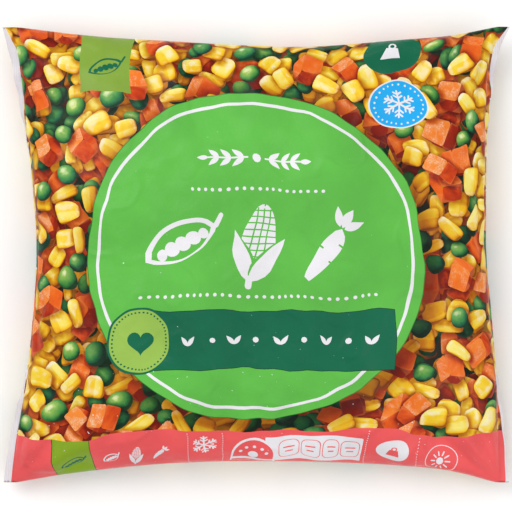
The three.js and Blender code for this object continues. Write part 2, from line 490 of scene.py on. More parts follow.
def placed(centre, degrees):
    """Carries the points of a small figure to its place and turn on the film."""
    return lambda points: centre + turned(points, math.radians(degrees))


def heading(angle):
    """The direction at an angle, as across and up."""
    return np.stack([np.cos(angle), np.sin(angle)], axis=-1)


def arc(middle, radius, start, end, steps=4):
    """Points from one angle to another."""
    return middle + radius * heading(np.linspace(start, end, steps + 1))


def close_points(outline):
    """The outline with points added, so that the film's strain can bend its long edges."""
    outline = np.asarray(outline, float)
    points = []
    for start, end in zip(outline, np.roll(outline, -1, axis=0)):
        count = max(1, math.ceil(np.linalg.norm(end - start) / LONGEST_EDGE))
        points.extend(start + (end - start) * i / count for i in range(count))
    return np.array(points)


def disc(centre, radius, squash=1.0, points=None):
    """A circle, squashed in height, with a point about every 1.6 mm."""
    count = points or max(8, min(140, round(TAU * radius / 1.6)))
    return centre + heading(TAU * np.arange(count) / count) * (radius, radius * squash)


def bar(low, high):
    (x0, t0), (x1, t1) = low, high
    return close_points([(x0, t0), (x1, t0), (x1, t1), (x0, t1)])


def rounded_bar(low, high, radius):
    """A rectangle with round corners."""
    (x0, t0), (x1, t1) = np.array(low) + radius, np.array(high) - radius
    corners = ((x1, t0), (x1, t1), (x0, t1), (x0, t0))
    quarter = math.pi / 2
    return close_points(np.concatenate([arc(corner, radius, (i - 1) * quarter, i * quarter)
                                        for i, corner in enumerate(corners)]))


def stroke(start, end, width):
    """A line with round ends."""
    start, end = np.array(start, float), np.array(end, float)
    way = end - start
    right = math.atan2(way[1], way[0]) - math.pi / 2
    ends = [arc(end, width / 2, right, right + math.pi), arc(start, width / 2, right + math.pi, right + TAU)]
    return close_points(np.concatenate(ends))


def leaf(base, tip, width):
    """A pointed leaf between two places."""
    base, tip = np.array(base, float), np.array(tip, float)
    way = tip - base
    aside = np.array([-way[1], way[0]]) / np.linalg.norm(way) * width / 2
    shares = np.linspace(0, 1, LEAF_POINTS)[:, None]
    middle, swell = base + way * shares, aside * np.sin(math.pi * shares ** 0.8)
    return np.concatenate([middle - swell, (middle + swell)[-2:0:-1]])


class Print:
    """The shapes on the film, lowest first, and the outlines that throw a printed shadow on those below."""

    def __init__(self):
        self.shapes = []
        self.casters = []

    def add(self, outline, ink, **frame_of):
        self.shapes.append(Shape(outline, ink, **frame_of))

    def cast(self, outline, reach, strength, offset):
        self.casters.append((np.asarray(outline, float) + offset, len(self.shapes), reach, strength))


# Printed vegetables
HEAP_SEED = 11
HEAP_LAYERS = ((10.5, 0.42), (11.0, 0.94), (11.8, 1.08))  # spacing and tone, from the bottom of the heap
KINDS = (("corn", 0.53), ("pea", 0.285), ("carrot", 0.185))
SUN = np.array([-0.36, 0.44, 0.82])
SHADOW_OFFSET = np.array([0.5, -0.7])
ITEM_SHADOW = (1.8, 0.78)  # reach in millimetres, and strength
OVAL_POINTS = 18
EAR_TONE = 0.9  # of the dice of carrot that fill the film's corners
HEAP_JITTER = 0.38  # in spacings
ROW_PITCH = 0.87  # in spacings
HEAP_WIDTH = BAG_WIDTH + 12
CORNER_CUT = 0.12  # of a die's edge


def oval_item(heap, draw, ink, centre, half_width, half_length, turn, tone, power=2.0, taper=0.0, bend=0.0):
    """A pea or a kernel: a rounded outline, narrower towards its tip by the taper."""
    angles = TAU * np.arange(OVAL_POINTS) / OVAL_POINTS
    phase = draw.uniform(0, TAU)
    wobble = 1 + 0.022 * np.cos(2 * angles + phase) + 0.02 * np.cos(3 * angles - phase)
    x, y = (np.sign(wave) * np.abs(wave) ** (2 / power) * wobble for wave in heading(angles).T)
    x = half_width * (x * (1 + taper * y) + bend * (y * y - 0.5))
    outline = centre + turned(np.stack([x, half_length * y], axis=1), turn)
    across, up = turned([(half_width, 0), (0, half_length)], turn)
    heap.cast(outline, *ITEM_SHADOW, SHADOW_OFFSET)
    heap.add(outline, ink, centre=centre, across=across, up=up, seed=draw.random(), tone=tone, turn=turn)


def pea(heap, draw, centre, tone):
    radius = draw.uniform(5.0, 6.4)
    squash = draw.uniform(0.78, 1.0)
    taper = draw.choice((0, 0, 0.12, 0.22))
    oval_item(heap, draw, "pea", centre, radius * squash, radius, draw.uniform(0, TAU), tone, taper=-taper)


def corn(heap, draw, centre, tone):
    """A kernel: broad, long or stubby."""
    turn = draw.uniform(0, TAU)
    kind = draw.random()
    if kind < 0.5:
        half_width, half_length, power, taper = draw.uniform(4.7, 5.7), draw.uniform(6, 7.3), 3.2, 0.26
    elif kind < 0.82:
        half_width, half_length, power, taper = draw.uniform(3, 3.9), draw.uniform(6.4, 8.2), 2.9, 0.16
    else:
        half_width, half_length, power, taper = draw.uniform(4.6, 5.4), draw.uniform(4.8, 5.6), 3.0, 0.08
    bend = draw.uniform(-0.22, 0.22)
    oval_item(heap, draw, "corn", centre, half_width, half_length, turn, tone, power, taper, bend)


def box_turn(draw):
    """A tumble for a die that keeps one face mostly up."""
    tilt, spin, swing = draw.uniform(0.35, 0.85), draw.uniform(0, TAU), draw.uniform(0, TAU)
    whole = np.eye(3)
    for axis, angle in ((2, swing), (0, tilt), (2, spin)):
        c, s = math.cos(angle), math.sin(angle)
        i, j = [k for k in range(3) if k != axis]
        matrix = np.eye(3)
        matrix[i, i], matrix[i, j], matrix[j, i], matrix[j, j] = c, -s, s, c
        whole = matrix @ whole
    return whole


def carrot(heap, draw, centre, tone):
    """A die of carrot, seen as its three upper faces."""
    size = np.array([draw.uniform(4.6, 6.8), draw.uniform(4.6, 6.8), draw.uniform(4.6, 7.6)])
    turn = box_turn(draw)
    corners = np.array([(x, y, z) for x in (-1, 1) for y in (-1, 1) for z in (-1, 1)]) * size @ turn.T
    heap.cast(centre + hull(corners[:, :2]), *ITEM_SHADOW, SHADOW_OFFSET)
    seed = draw.random()
    for axis in range(3):
        normal = turn[:, axis]
        sign = 1 if normal[2] > 0 else -1
        others = [k for k in range(3) if k != axis]
        middle = sign * size[axis] * normal
        a, b = (size[k] * turn[:, k] for k in others)
        face = np.array([middle + i * a + j * b for i, j in ((-1, -1), (1, -1), (1, 1), (-1, 1))])[:, :2]
        light = float(np.clip(sign * normal @ SUN, 0, 1))
        heap.add(centre + soft_corners(face), "carrot", centre=centre + middle[:2], across=a[:2], up=b[:2],
                 seed=(seed + 0.13 * axis) % 1, light=light, tone=tone)


def hull(points):
    """The convex outline round some points."""
    points = sorted(map(tuple, points))
    chains = []
    for run in (points, points[::-1]):
        chain = []
        for point in run:
            while len(chain) > 1 and turn_of(chain[-2], chain[-1], point) <= 0:
                chain.pop()
            chain.append(point)
        chains.extend(chain[:-1])
    return np.array(chains)


def turn_of(a, b, c):
    return (b[0] - a[0]) * (c[1] - a[1]) - (b[1] - a[1]) * (c[0] - a[0])


def soft_corners(face):
    """A face with each corner cut a little."""
    points = []
    for before, corner, after in zip(np.roll(face, 1, axis=0), face, np.roll(face, -1, axis=0)):
        points.append(corner + (before - corner) * CORNER_CUT)
        points.append(corner + (before + after - 2 * corner) * CORNER_CUT * 0.25)
        points.append(corner + (after - corner) * CORNER_CUT)
    return np.array(points)


def heap_places(draw, spacing):
    """Jittered places in staggered rows over the whole film."""
    rows = spans(2 * FILM_HEIGHT, spacing * ROW_PITCH)
    columns = spans(HEAP_WIDTH, spacing)
    jitter = spacing * HEAP_JITTER
    for row in range(rows + 1):
        for column in range(columns + 1):
            x = (column / columns - 0.5) * HEAP_WIDTH + spacing * 0.5 * (row % 2)
            t = (row / rows - 0.5) * 2 * FILM_HEIGHT
            yield np.array([x + draw.uniform(-jitter, jitter), t + draw.uniform(-jitter, jitter)])


def heap_of_vegetables(film):
    """Fills the film with a heap, leaving out what lies wholly under the large fields."""
    draw = random.Random(HEAP_SEED)
    makers = {"corn": corn, "pea": pea, "carrot": carrot}
    names, weights = zip(*KINDS)
    for side, end, _, _ in EARS:
        carrot(film, draw, np.array([side * OUTER, end * FILM_HEIGHT / 2]), EAR_TONE)
    for spacing, tone in HEAP_LAYERS:
        places = [place for place in heap_places(draw, spacing) if not hidden_by_fields(place)]
        draw.shuffle(places)
        for place in places:
            makers[draw.choices(names, weights)[0]](film, draw, place, tone * draw.uniform(0.85, 1.05))


# Layout of the front, in millimetres on the flat film from its middle. Figures turn in degrees
ROUNDEL_CENTRE = (-2.9, 0.4)
ROUNDEL_RADIUS = 85
ROUNDEL_SHADOW = (8.5, 0.84, (3, -3.4))  # reach, strength and offset
RING_INSET = 4.6
RING_WIDTH = 1.6
DOT_RADIUS = 0.92
DOT_PITCH = 3.8
DOT_ROWS = ((-33.5, 33, 34.2), (-60.5, 56.5, -20.5))  # start, end and height
ROUNDEL_ROW = (((-40, 7), 42, 28), ((-2, 7), 41, -14), ((36, 7), 43, -34))  # place, length and turn
SPRIG = ((-1.5, 50), 52)
SPRIG_STEM = 0.9
BAND = ((-58, -58), (65.1, -28))
BAND_ROW = (-36, 11.2, 9)  # start, pitch and count of the leaves and dots
BADGE_CENTRE = (-60.1, -43.3)
BADGE_RADIUS = 15.9
BADGE_SQUASH = 1.07
BADGE_RIM = 1.1
BADGE_DOTS = (2.5, 0.52, 1.8)  # inset, radius and pitch
BADGE_HEART = (0.6, 6.6)  # drop and size
PATCH = ((-90, 83.4), (-63.8, 124))
PATCH_POD = (97.5, 19.5, 24)  # height, length and turn
WEIGHT_OVAL = (71.7, 107.6)
WEIGHT_OVAL_RADIUS = 14.9
WEIGHT_OVAL_SQUASH = 0.92
WEIGHT_SIZE = 6.2
FROST_BADGE = (73.5, 77.9)
FROST_BADGE_RADIUS = 15.9
FROST_SQUASH = 0.79
FROST_RIM = 0.8
FROST_DOTS = (3, 0.55, 3.1)  # inset, radius and pitch
FROST_FLAKE = (8.6, 1.05)  # radius and stroke
FOOTER_TOP = -93  # the middle height of its edge, which waves, as (place across, height)
FOOTER_EDGE = ((-133, -93.3), (-106, -93.8), (-85, -94.4), (-73, -91), (-50, -90.6), (-28, -90.6),
               (-6, -92), (10, -91), (36, -92.6), (50, -89), (67, -88), (77, -92.6), (88, -95.6),
               (100, -93), (112, -91.2), (133, -92))
FOOTER_BOTTOM = -120.6
FOOTER_RISE = ((-22, FOOTER_BOTTOM), (12, -118.9), (36, -118.9), (60, FOOTER_BOTTOM))  # of its lower edge
FOOTER_PATCH = (-102.6, -83.4)  # from and to
FOOTER_POD = (-108.5, 13.5, 24)  # height, length and turn
FOOTER_DOT_LINES = (-34.6, -17.5, 55.5, 80.5)
FOOTER_DOTS = (1.8, -117.5, 0.32, 1.45)  # drop from the edge, end, radius and pitch
FOOTER_ROW = (((-73, -105.5), 10.5, 28), ((-60, -105), 11, -14), ((-48, -105.5), 11.5, -34))
FOOTER_FLAKE = ((-26.1, -100), 5.9, 0.85)  # centre, radius and stroke
FOOTER_OVAL = ((67.9, -100.8), 7.5, 0.92)  # centre, radius and squash
FOOTER_WEIGHT = ((67.9, -101), 3.7)
FOOTER_SUN = (94.1, -108.5)
SUN_FIELD = (8.6, 0.4)  # radius and rim
SUN_RAYS = (5, 0.7)  # reach and stroke
DOME_CENTRE = (-1.7, -106.8)
DOME_RADIUS = 11.2
DOME_FOOT = 7.7
PALE_BLOCK = ((4, -112.2), (53.6, -95))
BLOCK_CORNER = 0.8
BLOCK_ROW = (15.8, 10.6, 4)  # start, pitch and count of its fields
BLOCK_FIELD = ((-4.9, -109.4), (4.9, -97.4))
BLOCK_FIELD_RIMS = ((0, 3.2, "coral"), (0.4, 2.9, "white"))  # inset, corner and ink
BLOCK_LINES = ((2.6, -102.4), (1.8, -105.2))  # half length and height
BLOCK_LINE_WIDTH = 0.8
UNDER_FIELD = 9  # how far within a field's edge a vegetable is hidden
EDGE_LINE = 0.35  # thin dark outlines

# Width of the bare weld beside the print, as (place round the film, millimetres)
BARE_LEFT = ((-239, 3), (-124, 3), (-119, 4), (-80, 4.6), (-52, 3.2), (-40, 0.5), (66, 0.5), (76, 3.6),
             (88, 6), (104, 6.4), (112, 3.4), (119, 1.4), (126, 3), (239, 3))
BARE_RIGHT = ((-239, 3), (-124, 3), (-119, 1.6), (-95, 1.2), (-78, 2.8), (-5, 2.6), (20, 0.8), (29, 4.4),
              (44, 4.6), (53, 0.6), (84, 0.6), (92, 3.6), (108, 4), (115, 2), (119, 0.8), (126, 3), (239, 3))

# Layout of the back
BACK_PANEL_START = 151
BACK_PANEL_HALF = 103
LAP_HALF = 7
BACK_BANDS = ((BACK_PANEL_START, FILM_HEIGHT, BACK_PANEL_HALF, "green"),
              (BACK_PANEL_START + 3.4, BACK_PANEL_START + 4.8, BACK_PANEL_HALF, "white"),
              (FILM_HEIGHT - LAP_HALF, FILM_HEIGHT, OUTER, "dark_green"))  # start, end, half width and ink
BACK_BLOCKS = (-70, 0, 70)
BACK_BLOCK_HALF = 27
BACK_BLOCK_CORNER = 4
BACK_BLOCK_ENDS = (166, 222)


def dotted(front, start, end, radius, pitch, ink):
    start, end = np.array(start, float), np.array(end, float)
    count = spans(np.linalg.norm(end - start), pitch)
    for i in range(count + 1):
        front.add(disc(start + (end - start) * i / count, radius, points=8 if radius > 0.5 else 5), ink)


def dotted_ring(front, centre, radius, squash, dot, pitch, ink):
    for place in disc(centre, radius, squash, spans(TAU * radius, pitch)):
        front.add(disc(place, dot, points=6), ink)


def rimmed_disc(front, centre, radius, rim, rim_ink, ink, squash=1.0):
    front.add(disc(centre, radius, squash), rim_ink)
    front.add(disc(centre, radius - rim, squash), ink)


def snowflake(front, centre, radius, width, ink, squash=1.0):
    """Six arms, each with two pairs of branches."""
    def reach(angle, distance):
        return heading(angle) * (1, squash) * distance

    for angle in math.pi / 2 + TAU * np.arange(6) / 6:
        front.add(stroke(centre, centre + reach(angle, radius), width), ink)
        for share, length in ((0.45, 0.34), (0.74, 0.3)):
            joint = centre + reach(angle, radius * share)
            for side in (-1, 1):
                tip = joint + reach(angle + side * math.pi / 3.4, radius * length)
                front.add(stroke(joint, tip, width * 0.85), ink)


def pea_pod(front, centre, length, turn, ink, ground):
    """An open pod with its row of peas."""
    at = placed(centre, turn)
    shares = np.linspace(-1, 1, 17)
    bow = 0.16 * length * (1 - shares ** 2)
    swell = np.sqrt(1 - shares ** 2)

    def lens(thick, inset):
        half = (length / 2 - inset) * shares
        upper = np.stack([half, bow * 0.4 + thick * swell], axis=1)
        lower = np.stack([half, -bow - thick * 0.35 * swell], axis=1)[-2:0:-1]
        return at(np.concatenate([upper, lower]))

    front.add(lens(0.17 * length, 0), ink)
    front.add(lens(0.115 * length, 0.075 * length), ground)
    front.add(stroke(at((0.485 * length, 0)), at((0.6 * length, 0.09 * length)), 0.055 * length), ink)
    for place, size in ((-0.29, 0.07), (-0.15, 0.088), (0, 0.094), (0.15, 0.088), (0.29, 0.07)):
        front.add(disc(at((place * length, -0.035 * length)), size * length), ink)


def corn_cob(front, centre, length, turn, ink, ground):
    """A cob with rows of kernels, held by two husk leaves."""
    at = placed(centre, turn)
    half, wide = length / 2, length * 0.2
    middle, tall = half * 0.12, half * 0.86
    line = length * 0.017
    x, y = heading(TAU * np.arange(28) / 28).T
    front.add(at(np.stack([wide * x * (1 - 0.18 * y), middle + tall * y], axis=1)), ink)
    for y in length * 0.082 * np.arange(-4, 8):
        reach = 0.97 * wide * math.sqrt(max(0.0, 1 - ((y - middle) / tall) ** 2))
        front.add(stroke(at((-reach, y - 0.02 * length)), at((reach, y + 0.02 * length)), line), ground)
    for x in (-0.09, 0, 0.09):
        front.add(stroke(at((x * length, -half * 0.5)), at((x * length * 0.8, tall)), line), ground)
    foot = at((0, -half))
    for side in (-1, 1):
        tip = at((side * wide * 1.55, half * 0.22))
        front.add(leaf(foot, tip, length * 0.27), ground)
        front.add(leaf(foot, tip, length * 0.2), ink)
    front.add(stroke(at((0, -half * 0.9)), at((0, -half * 1.12)), length * 0.07), ink)


def carrot_root(front, centre, length, turn, ink, ground):
    """A whole carrot with its tuft of leaves."""
    at = placed(centre, turn)
    half = length / 2
    crown = half * 0.42
    shares = np.linspace(0, 1, 13)
    wide = length * 0.155 * np.sqrt(np.sin(math.pi * (0.12 + 0.88 * shares))) * (0.35 + 0.65 * shares)
    y = -half + shares * length * 0.7
    front.add(at(np.concatenate([np.stack([wide, y], axis=1), np.stack([-wide, y], axis=1)[::-1]])), ink)
    for side, place, reach in ((1, 0.02, 0.085), (-1, -0.1, 0.07), (1, -0.2, 0.06)):
        start, end = ((side * length * share, place * length) for share in (0.14, 0.14 - reach))
        front.add(stroke(at(start), at(end), length * 0.022), ground)
    for lean, reach in ((-0.17, 0.2), (0, 0.27), (0.17, 0.2)):
        tip = at((lean * length, crown + reach * length))
        front.add(leaf(at((lean * length * 0.18, crown)), tip, length * 0.1), ink)


def vegetable_row(front, row, ground):
    """A pod, a cob and a carrot in white."""
    for figure, (place, length, turn) in zip((pea_pod, corn_cob, carrot_root), row):
        figure(front, place, length, turn, "white", ground)


def heart(front, centre, size, ink):
    angles = TAU * np.arange(30) / 30
    x = np.sin(angles) ** 3
    y = (13 * np.cos(angles) - 5 * np.cos(2 * angles) - 2 * np.cos(3 * angles) - np.cos(4 * angles)) / 16
    front.add(centre + size * np.stack([x, y], axis=1), ink)


def kitchen_weight(front, centre, size, ink, ground):
    """A cast weight with its ring, for how much the bag holds."""
    rimmed_disc(front, centre + np.array([0, size * 0.52]), size * 0.36, size * 0.16, ink, ground)
    corners = np.array([(-0.8, -0.8), (0.8, -0.8), (0.5, 0.35), (-0.5, 0.35)])
    front.add(close_points(centre + corners * size), ink)


def sun(front, centre, size, width, ink):
    front.add(disc(centre, size * 0.4), ink)
    for ray in heading(TAU * np.arange(10) / 10):
        front.add(stroke(centre + ray * size * 0.6, centre + ray * size, width), ink)


def roundel(front):
    """The large round panel, with a row of vegetables in it and a sprig over them."""
    reach, strength, offset = ROUNDEL_SHADOW
    front.cast(disc(ROUNDEL_CENTRE, ROUNDEL_RADIUS), reach, strength, offset)
    rimmed_disc(front, ROUNDEL_CENTRE, ROUNDEL_RADIUS + EDGE_LINE, EDGE_LINE, "leaf_line", "green")
    rimmed_disc(front, ROUNDEL_CENTRE, ROUNDEL_RADIUS - RING_INSET, RING_WIDTH, "white", "green")
    for start, end, t in DOT_ROWS:
        dotted(front, (start, t), (end, t), DOT_RADIUS, DOT_PITCH, "white")
    vegetable_row(front, ROUNDEL_ROW, "green")
    sprig(front, *SPRIG, "white")


def sprig(front, centre, length, ink):
    """Pairs of small leaves along a level stem, with a bud in the middle."""
    def at(place, rise=0.0):
        return centre + np.array([place, rise]) * length

    front.add(disc(centre, length * 0.045), ink)
    for side in (-1, 1):
        front.add(stroke(at(side * 0.09), at(side * 0.46), SPRIG_STEM), ink)
        for place in (0.16, 0.27, 0.38):
            for rise in (-1, 1):
                tip = at(side * (place + 0.06), rise * 0.085)
                front.add(leaf(at(side * (place - 0.04)), tip, length * 0.05), ink)
        front.add(leaf(at(side * 0.44), at(side * 0.55), length * 0.05), ink)


def dark_band(front):
    """The dark band over the roundel, with a row of small leaves and dots."""
    (x0, t0), (x1, t1) = BAND
    front.add(bar((x0, t0 - EDGE_LINE), (x1 + EDGE_LINE, t1 + EDGE_LINE)), "dark_line")
    front.add(bar((x0, t0), (x1, t1)), "dark_green")
    middle = (t0 + t1) / 2
    start, pitch, count = BAND_ROW
    for i in range(count):
        x = start + i * pitch
        if i % 2:
            front.add(disc((x, middle), 1.5), "white")
        else:
            for side in (-1, 1):
                front.add(leaf((x, middle - 2.2), (x + side * 3.4, middle + 2.4), 2.3), "white")


def round_badge(front):
    """The badge at the dark band's start, with a heart in it."""
    rimmed_disc(front, BADGE_CENTRE, BADGE_RADIUS, BADGE_RIM, "dark_green", "light_green", BADGE_SQUASH)
    inset, dot, pitch = BADGE_DOTS
    dotted_ring(front, BADGE_CENTRE, BADGE_RADIUS - inset, BADGE_SQUASH, dot, pitch, "dark_green")
    drop, size = BADGE_HEART
    heart(front, (BADGE_CENTRE[0], BADGE_CENTRE[1] - drop), size, "dark_green")


def top_fields(front):
    """The patch, the oval and the round frost badge near the top fold."""
    front.add(bar(*PATCH), "patch_green")
    height, length, turn = PATCH_POD
    pea_pod(front, ((PATCH[0][0] + PATCH[1][0]) / 2, height), length, turn, "dark_green", "patch_green")
    front.add(disc(WEIGHT_OVAL, WEIGHT_OVAL_RADIUS, WEIGHT_OVAL_SQUASH), "dark_green")
    kitchen_weight(front, WEIGHT_OVAL, WEIGHT_SIZE, "white", "dark_green")
    rimmed_disc(front, FROST_BADGE, FROST_BADGE_RADIUS, FROST_RIM, "white", "blue", FROST_SQUASH)
    inset, dot, pitch = FROST_DOTS
    dotted_ring(front, FROST_BADGE, FROST_BADGE_RADIUS - inset, FROST_SQUASH, dot, pitch, "white")
    snowflake(front, FROST_BADGE, *FROST_FLAKE, "white", FROST_SQUASH)


def below_edge(start, end):
    """The footer's lower corner at its start, and its waving upper edge from there to its end."""
    x = np.linspace(start, end, spans(abs(end - start), LONGEST_EDGE) + 1)
    return [(start, FOOTER_BOTTOM)] + [(place, along(FOOTER_EDGE, place)) for place in x]


def footer(front):
    """The band along the bottom fold with its row of small fields."""
    low = [(-OUTER, FOOTER_BOTTOM), *FOOTER_RISE]
    front.add(close_points(low + below_edge(OUTER, -OUTER)), "coral")
    x0, x1 = FOOTER_PATCH
    for line, ink in ((EDGE_LINE, "dark_line"), (0, "footer_green")):
        front.add(close_points([(x0 - line, FOOTER_BOTTOM)] + below_edge(x1 + line, x0 - line)), ink)
    height, length, turn = FOOTER_POD
    pea_pod(front, ((x0 + x1) / 2, height), length, turn, "dark_green", "footer_green")
    drop, end, dot, pitch = FOOTER_DOTS
    for x in FOOTER_DOT_LINES:
        dotted(front, (x, along(FOOTER_EDGE, x) - drop), (x, end), dot, pitch, "white")
    vegetable_row(front, FOOTER_ROW, "coral")
    snowflake(front, *FOOTER_FLAKE, "white")
    value_panel(front)
    front.add(disc(*FOOTER_OVAL), "white")
    kitchen_weight(front, *FOOTER_WEIGHT, "coral", "white")
    rimmed_disc(front, FOOTER_SUN, *SUN_FIELD, "white", "coral")
    sun(front, FOOTER_SUN, *SUN_RAYS, "white")


def value_panel(front):
    """A domed field with a row of dots, and a pale block of four rounded fields."""
    x, t = DOME_CENTRE
    feet = [[(x + side * DOME_RADIUS, t - DOME_FOOT)] for side in (-1, 1)]
    dome = np.concatenate([feet[0], arc(DOME_CENTRE, DOME_RADIUS, math.pi, 0, 14), feet[1]])
    front.add(rounded_bar(*PALE_BLOCK, BLOCK_CORNER), "white")
    front.add(close_points(dome), "white")
    front.add(close_points((dome - (0, t)) * (0.91, 0.9) + (-0.15, t - 0.45)), "coral")
    front.add(bar((x - 10.5, t - 5.8), (x + 10.5, t - 3.4)), "white")
    for angle in np.radians(20 + 35 * np.arange(5)):
        front.add(disc((x, t - 0.4) + heading(angle) * (7, 5.6), 0.95), "white")
    front.add(disc((x, t - 0.6), 2.7), "white")
    start, pitch, count = BLOCK_ROW
    for x in start + pitch * np.arange(count):
        for inset, corner, ink in BLOCK_FIELD_RIMS:
            low, high = np.array(BLOCK_FIELD) + (x, 0)
            front.add(rounded_bar(low + inset, high - inset, corner), ink)
        for half, low in BLOCK_LINES:
            front.add(bar((x - half, low), (x + half, low + BLOCK_LINE_WIDTH)), "coral")


def back_fields(back):
    """A plain panel over the middle of the back, pale blocks on it, and the film's lap across it."""
    for end in (-1, 1):
        for start, stop, half, ink in BACK_BANDS:
            low, high = sorted((end * start, end * stop))
            back.add(bar((-half, low), (half, high)), ink)
    for x in BACK_BLOCKS:
        for end in (1, -1):
            low, high = sorted(end * place for place in BACK_BLOCK_ENDS)
            corners = (x - BACK_BLOCK_HALF, low), (x + BACK_BLOCK_HALF, high)
            back.add(rounded_bar(*corners, BACK_BLOCK_CORNER), "light_green")


def hidden_by_fields(place):
    """Whether a vegetable at this place lies wholly under a large field."""
    x, t = place
    if math.hypot(x - ROUNDEL_CENTRE[0], t - ROUNDEL_CENTRE[1]) < ROUNDEL_RADIUS - UNDER_FIELD:
        return True
    if abs(x) < BACK_PANEL_HALF - UNDER_FIELD and abs(t) > BACK_PANEL_START + UNDER_FIELD:
        return True
    return FOOTER_BOTTOM + UNDER_FIELD < t < FOOTER_TOP - UNDER_FIELD


def bare_welds(film):
    """The unprinted strips at the film's edges."""
    t = np.linspace(-FILM_HEIGHT, FILM_HEIGHT, spans(2 * FILM_HEIGHT, LONGEST_EDGE) + 1)
    for side, knots in ((-1, BARE_LEFT), (1, BARE_RIGHT)):
        inner = side * (OUTER - np.interp(t, *np.transpose(knots)))
        edge = np.full_like(t, side * OUTER)
        strip = np.concatenate([np.stack([inner, t], axis=1), np.stack([edge, t], axis=1)[::-1]])
        film.add(strip, "weld")


def whole_print():
    film = Print()
    film.add(bar((-OUTER, -FILM_HEIGHT), (OUTER, FILM_HEIGHT)), "gap")
    heap_of_vegetables(film)
    for fields in (top_fields, roundel, dark_band, round_badge, footer, back_fields, bare_welds):
        fields(film)
    return film


# Cutting the film
GRID_STEP = 2.0
FIN_COLUMNS = 2
CUT_TOLERANCE = 1e-4
STRAIGHTNESS = 0.03


def within_film(outline):
    """The part of an outline that lies on the film."""
    for axis, side, limit in ((0, -1, OUTER), (0, 1, OUTER), (1, -1, FILM_HEIGHT), (1, 1, FILM_HEIGHT)):
        kept = []
        for start, end in zip(outline, np.roll(outline, -1, axis=0)):
            inside, next_inside = start[axis] * side <= limit, end[axis] * side <= limit
            if inside:
                kept.append(start)
            if inside != next_inside:
                share = (side * limit - start[axis]) / (end[axis] - start[axis])
                kept.append(start + (end - start) * share)
        outline = np.array(kept)
        if len(outline) < 3:
            return outline
    return outline


def counter_clockwise(outline):
    x, t = outline.T
    area = np.sum(x * np.roll(t, -1) - np.roll(x, -1) * t)
    return outline if area > 0 else outline[::-1]


def grid_lines():
    half = FILM_WIDTH / 2
    inner = np.linspace(-half, half, spans(FILM_WIDTH, GRID_STEP) + 1)
    outer = FIN_WIDTH * np.arange(1, FIN_COLUMNS + 1) / FIN_COLUMNS
    columns = np.concatenate([-half - outer[::-1], inner, half + outer])
    rows = np.linspace(-FILM_HEIGHT, FILM_HEIGHT, 4 * spans(FILM_HEIGHT / 2, GRID_STEP) + 1)
    return columns, rows


def seen_edges(faces, topmost):
    """Edges between faces of different shapes."""
    beside = {}
    for face, owner in zip(faces, topmost):
        for a, b in zip(face, face[1:] + face[:1]):
            beside.setdefault((min(a, b), max(a, b)), []).append(owner)
    return [edge for edge, owners in beside.items() if len(set(owners)) > 1]


def straightened(points, edges):
    """Edges without the points that lie in the middle of straight runs."""
    beside = {}
    for a, b in edges:
        beside.setdefault(a, set()).add(b)
        beside.setdefault(b, set()).add(a)
    for middle in list(beside):
        if len(beside[middle]) != 2:
            continue
        a, b = beside[middle]
        length = (points[b] - points[a]).length
        off = abs(turn_of(points[a], points[middle], points[b])) / max(length, CUT_TOLERANCE)
        if b not in beside[a] and length < LONGEST_EDGE and off < STRAIGHTNESS:
            del beside[middle]
            for end, other in ((a, b), (b, a)):
                beside[end].discard(middle)
                beside[end].add(other)
    return [(a, b) for a, ends in beside.items() for b in ends if a < b]


def counter_clockwise_face(points, face):
    a, b, c = (points[i] for i in face)
    return face if turn_of(a, b, c) > 0 else face[::-1]


def shape_map(film):
    """The first cut: the points and faces that the outlines make, and the topmost shape of each face."""
    faces, owners, points = [], [], []
    for rank, shape in enumerate(film.shapes):
        outline = within_film(shape.outline)
        if len(outline) < 3:
            continue
        start = len(points)
        points += [Vector(point) for point in counter_clockwise(outline)]
        faces.append(list(range(start, len(points))))
        owners.append(rank)
    cut = delaunay_2d_cdt(points, [], faces, 0, CUT_TOLERANCE, True)
    return cut[0], cut[2], np.array([owners[max(found)] if found else 0 for found in cut[5]])


def fixed_lines(across, high):
    """The grid's edges along the film's rim, the welds' inner sides and the folds."""
    edges = []
    for i in (0, FIN_COLUMNS, across - 1 - FIN_COLUMNS, across - 1):
        edges += [(i * high + j, i * high + j + 1) for j in range(high - 1)]
    for j in (0, high // 4, 3 * (high // 4), high - 1):
        edges += [(i * high + j, (i + 1) * high + j) for i in range(across - 1)]
    return edges


def cut_film(film):
    """Triangles of the flat film, each with the topmost shape that it lies in."""
    columns, rows = grid_lines()
    x, t = np.meshgrid(columns, rows, indexing="ij")
    grid = list(map(Vector, np.stack([x.ravel(), t.ravel()], axis=1)))
    points, faces, topmost = shape_map(film)
    seen = straightened(points, seen_edges(faces, topmost))
    kept = sorted({point for edge in seen for point in edge})
    number = {point: len(grid) + i for i, point in enumerate(kept)}

    # The second cut leaves out the outlines that other shapes hide, and brings in the grid
    edges = fixed_lines(len(columns), len(rows)) + [(number[a], number[b]) for a, b in seen]
    final = delaunay_2d_cdt(grid + [points[point] for point in kept], edges, [], 0, CUT_TOLERANCE, False)
    places = np.array([tuple(point) for point in final[0]])
    triangles = np.array([counter_clockwise_face(final[0], face) for face in final[2]])
    middles = places[triangles].mean(axis=1)
    flat = BVHTree.FromPolygons([(*point, 0.0) for point in points], faces)
    found = [flat.find_nearest((x, t, 0.0))[2] for x, t in middles]
    return places, triangles, topmost[found]


# Bake map: the front takes the middle of the map, and the back's halves lie over and under it
FRONT_SHARE = 0.62
MAP_MARGIN = 0.004


